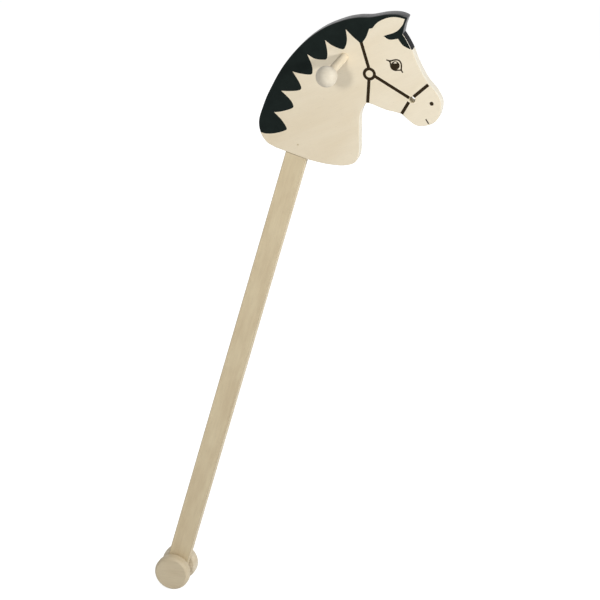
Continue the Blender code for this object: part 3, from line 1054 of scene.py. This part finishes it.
class STICK_HORSE_OT_head(bpy.types.Operator):
    """Build the printed plywood head, with its mane, bridle and eye on both sides"""

    bl_idname = "stick_horse.head"
    bl_label = "Printed head"

    def execute(self, context):
        c = colours()
        grain = (FACE_GRAIN, middle("head_board"))
        bore_grain = (Y_GRAIN, middle("head_board"))
        # In the order of their slot numbers, FACE to BORE
        materials = [
            wood(
                "plywood face", c.plywood, c.plywood_dark, *grain, figure=26.0, streak=110.0,
                figured=0.45, streaked=0.09, fibred=0.04, drift=(-2.0, 0.0, 0.0)),
            ink("mane ink", c.mane_ink, *grain),
            ink("bridle ink", c.bridle_ink, *grain),
            plies("plywood edge", c.ply_long, c.ply_end),
            # Darker wood on the rims: painted shade
            wood("plywood rim", c.plywood_rim_shade, c.plywood_dark, *grain, figured=0.3, streaked=0.2),
            edge_paint("edge paint", c.edge_paint, "paint"),
            edge_paint("dull edge paint", c.edge_paint, "dull paint"),
            # The holes' walls: end grain, with painted shade inside the holes
            wood("plywood bore", c.bore_end_grain_and_shade, c.plywood_dark, *bore_grain, figured=0.0, streaked=0.0),
        ]
        new_piece("printed_head", head_data(), materials, seat(), "horse", "printed_plywood", "head_board")
        return {"FINISHED"}


class STICK_HORSE_OT_stick(bpy.types.Operator):
    """Build the stick and the peg that holds its tenon in the head"""

    bl_idname = "stick_horse.stick"
    bl_label = "Stick and peg"

    def execute(self, context):
        c = colours()
        grain = ((0.0, math.radians(90.0) - sizes().lean, 0.0), AXLE_CENTRE)
        materials = [
            wood("stick wood", c.stick, c.stick_dark, *grain, figure=70.0, streak=260.0),
            # Darker wood on the rims: painted shade
            wood("stick rim", c.stick_rim_shade, c.stick_dark, *grain, figured=0.3),
        ]
        new_piece("square_stick", stick_data(), materials, upright(), "horse", "stick_wood", "stick")
        centre = middle("head_pin")
        peg_wood = wood("peg end grain", c.peg, c.stick_dark, ACROSS_GRAIN, centre, fibre=2500.0)
        peg = rod_data("head_pin", radius_of("head_pin") * PEG_CHAMFER_SHARE, SMALL_STEPS)
        place = Matrix.Translation(centre)
        new_piece("tenon_peg", peg, [peg_wood], place, "horse", "pin_wood", "head_pin")
        return {"FINISHED"}


class STICK_HORSE_OT_handle(bpy.types.Operator):
    """Build the handle rod through the head, and the ball knob on each end of it"""

    bl_idname = "stick_horse.handle"
    bl_label = "Handle and knobs"

    def execute(self, context):
        c = colours()
        centre = middle("handle_rod")
        rod_wood = wood("rod wood", c.rod, c.rod_dark, Y_GRAIN, centre, figure=120.0, streak=420.0)
        rod = rod_data("handle_rod", sizes().rod_chamfer, TURNED_STEPS)
        place = Matrix.Translation(centre)
        new_piece("round_handle", rod, [rod_wood], place, "horse", "handle_wood", "handle_rod")
        for side, node in ((-1, "knob_right"), (1, "knob_left")):
            low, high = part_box(node)
            ball_centre = middle(node)
            ball_centre.y = (high.y if side > 0 else low.y) - side * radius_of(node)
            knob_wood = wood(
                node.replace("_", " ") + " wood", c.knob, c.knob_dark, ACROSS_GRAIN, ball_centre,
                figure=90.0, streak=500.0)
            place = facing(ball_centre, side)
            new_piece("ball_" + node, knob_data(node), [knob_wood], place, "horse", "knob_wood", node)
        return {"FINISHED"}


class STICK_HORSE_OT_wheels(bpy.types.Operator):
    """Build the two wheels and the axle that joins them"""

    bl_idname = "stick_horse.wheels"
    bl_label = "Wheels and axle"

    def execute(self, context):
        c = colours()
        axle_wood = wood("axle wood", c.stick, c.stick_dark, Y_GRAIN, AXLE_CENTRE, figure=120.0, streak=420.0)
        axle = rod_data("axle", sizes().rod_chamfer, HOLE_STEPS)
        place = Matrix.Translation(AXLE_CENTRE)
        new_piece("turned_axle", axle, [axle_wood], place, "wheelset", "axle_wood", "axle")
        # The left wheel's paler colour is painted light on the far wheel
        for side, node, pale in ((-1, "wheel_right", c.right_wheel), (1, "wheel_left", c.left_wheel_painted_light)):
            low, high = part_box(node)
            wheel_wood = wood(
                node.replace("_", " ") + " wood", pale, c.wheel_dark, ACROSS_GRAIN, AXLE_CENTRE,
                figure=70.0, streak=300.0)
            inner_face = low.y if side > 0 else high.y
            place = facing((AXLE_CENTRE.x, inner_face, AXLE_CENTRE.z), side)
            new_piece("disc_" + node, wheel_data(node), [wheel_wood], place, "wheelset", "wheel_wood", node)
        return {"FINISHED"}


# The camera, as solved from the photograph
VIEW_AZIMUTH = math.radians(16.343)
VIEW_ELEVATION = math.radians(22.421)
VIEW_DISTANCE = 4.61604
VIEW_TARGET = Vector((0.006996, 0.0, 0.467127))
LENS = 199.08  # mm, on a film 36 mm wide
FILM_WIDTH = 36.0

# The lamps: direction they shine from (azimuth from the viewer's side, elevation), in degrees,
# distance and size in metres, and power in watts
LAMPS = {
    "front": ((2.0, 21.0), 2.1, 0.22, 11.4),
    "right": ((66.0, 19.0), 2.1, 0.24, 30.4),
    "back": ((184.0, 10.0), 2.4, 0.80, 14.0),
}
LAMP_TARGET = Vector((0.05, 0.0, 0.72))
SKY_STRENGTH = 0.38
WHITE = (1.0, 1.0, 1.0)
FLOOR_SIZE = 30.0
FLOOR_COLOUR = srgb(235, 235, 235)
FLOOR_GLOW = 1.69  # strength of the white that is mixed into the floor where it is seen
FLOOR_GLOW_SHARE = 0.5
CAMERA_REACH = 120.0


def direction(azimuth, elevation):
    level = math.cos(elevation)
    return Vector((math.sin(azimuth) * level, -math.cos(azimuth) * level, math.sin(elevation)))


def aim(item, place, target):
    item.location = place
    item.rotation_euler = (target - place).to_track_quat("-Z", "Y").to_euler()
    bpy.context.scene.collection.objects.link(item)


def seen_directly(nodes):
    """1 for rays from the camera, from gloss and through clear things, and 0 for the light itself."""
    path = nodes.add("ShaderNodeLightPath", {}).outputs
    seen = nodes.math("MAXIMUM", path["Is Camera Ray"], path["Is Glossy Ray"])
    return nodes.math("MAXIMUM", seen, path["Is Transmission Ray"])


def floor_material():
    """A plain pale floor, which reads white in the picture and keeps the object's soft shadow."""
    material = bpy.data.materials.new("studio floor")
    nodes = Nodes(material)
    nodes.tree.nodes.remove(nodes.tree.nodes["Principled BSDF"])
    lit = nodes.add("ShaderNodeBsdfDiffuse", {"Color": FLOOR_COLOUR}).outputs[0]
    glow = nodes.add("ShaderNodeEmission", {"Color": WHITE, "Strength": FLOOR_GLOW}).outputs[0]
    white = nodes.add("ShaderNodeMixShader", {0: FLOOR_GLOW_SHARE, 1: lit, 2: glow}).outputs[0]
    shown = nodes.add("ShaderNodeMixShader", {0: seen_directly(nodes), 1: lit, 2: white})
    nodes.feed(nodes.tree.nodes["Material Output"].inputs["Surface"], shown.outputs[0])
    return material


def light_sky():
    """An even white sky, at full strength where it is seen and weaker as light."""
    world = bpy.data.worlds.new("studio sky")
    bpy.context.scene.world = world
    nodes = Nodes(world)
    background = nodes.tree.nodes["Background"].inputs
    nodes.feed(background["Color"], WHITE)
    nodes.feed(background["Strength"], nodes.ramp(seen_directly(nodes), 0.0, 1.0, SKY_STRENGTH, 1.0))


class STICK_HORSE_OT_stage(bpy.types.Operator):
    """Set up the pale floor, the soft studio lamps and the camera"""

    bl_idname = "stick_horse.stage"
    bl_label = "Studio"

    def execute(self, context):
        data = bmesh.new()
        bmesh.ops.create_grid(data, x_segments=1, y_segments=1, size=FLOOR_SIZE / 2)
        floor = new_object("studio_floor", data, [floor_material()])
        light_sky()
        for name, (angles, distance, size, power) in LAMPS.items():
            lamp = bpy.data.lights.new(name, "AREA")
            lamp.shape = "DISK"
            lamp.size = size
            lamp.energy = power
            towards = direction(*(math.radians(angle) for angle in angles))
            made = bpy.data.objects.new(name, lamp)
            made.visible_glossy = name != "back"  # it would shine in the paint on the top of the ear
            aim(made, LAMP_TARGET + towards * distance, LAMP_TARGET)
        camera = bpy.data.cameras.new("camera")
        camera.sensor_width = FILM_WIDTH
        camera.lens = LENS
        camera.clip_end = CAMERA_REACH
        eye = bpy.data.objects.new("camera", camera)
        place = VIEW_TARGET + direction(VIEW_AZIMUTH, VIEW_ELEVATION) * VIEW_DISTANCE
        aim(eye, place, VIEW_TARGET)
        context.scene.camera = eye
        context.scene.view_settings.view_transform = "Standard"
        return {"FINISHED"}


OPERATORS = (
    STICK_HORSE_OT_head,
    STICK_HORSE_OT_stick,
    STICK_HORSE_OT_handle,
    STICK_HORSE_OT_wheels,
    STICK_HORSE_OT_stage,
)


class STICK_HORSE_PT_panel(bpy.types.Panel):
    bl_idname = "STICK_HORSE_PT_panel"
    bl_label = "Stick horse"
    bl_space_type = "VIEW_3D"
    bl_region_type = "UI"
    bl_category = "Stick horse"

    def draw(self, context):
        for group in (context.scene.stick_horse_sizes, context.scene.stick_horse_colours):
            column = self.layout.column()
            for name in type(group).__annotations__:
                column.prop(group, name)
        for operator in OPERATORS:
            self.layout.operator(operator.bl_idname)


CLASSES = (StickHorseSizes, StickHorseColours, *OPERATORS, STICK_HORSE_PT_panel)


def register():
    for item in CLASSES:
        bpy.utils.register_class(item)
    bpy.types.Scene.stick_horse_sizes = bpy.props.PointerProperty(type=StickHorseSizes)
    bpy.types.Scene.stick_horse_colours = bpy.props.PointerProperty(type=StickHorseColours)


def unregister():
    del bpy.types.Scene.stick_horse_colours
    del bpy.types.Scene.stick_horse_sizes
    for item in reversed(CLASSES):
        bpy.utils.unregister_class(item)


def main():
    register()
    bpy.ops.stick_horse.head()
    bpy.ops.stick_horse.stick()
    bpy.ops.stick_horse.handle()
    bpy.ops.stick_horse.wheels()
    bpy.ops.stick_horse.stage()


if __name__ == "__main__":
    main()
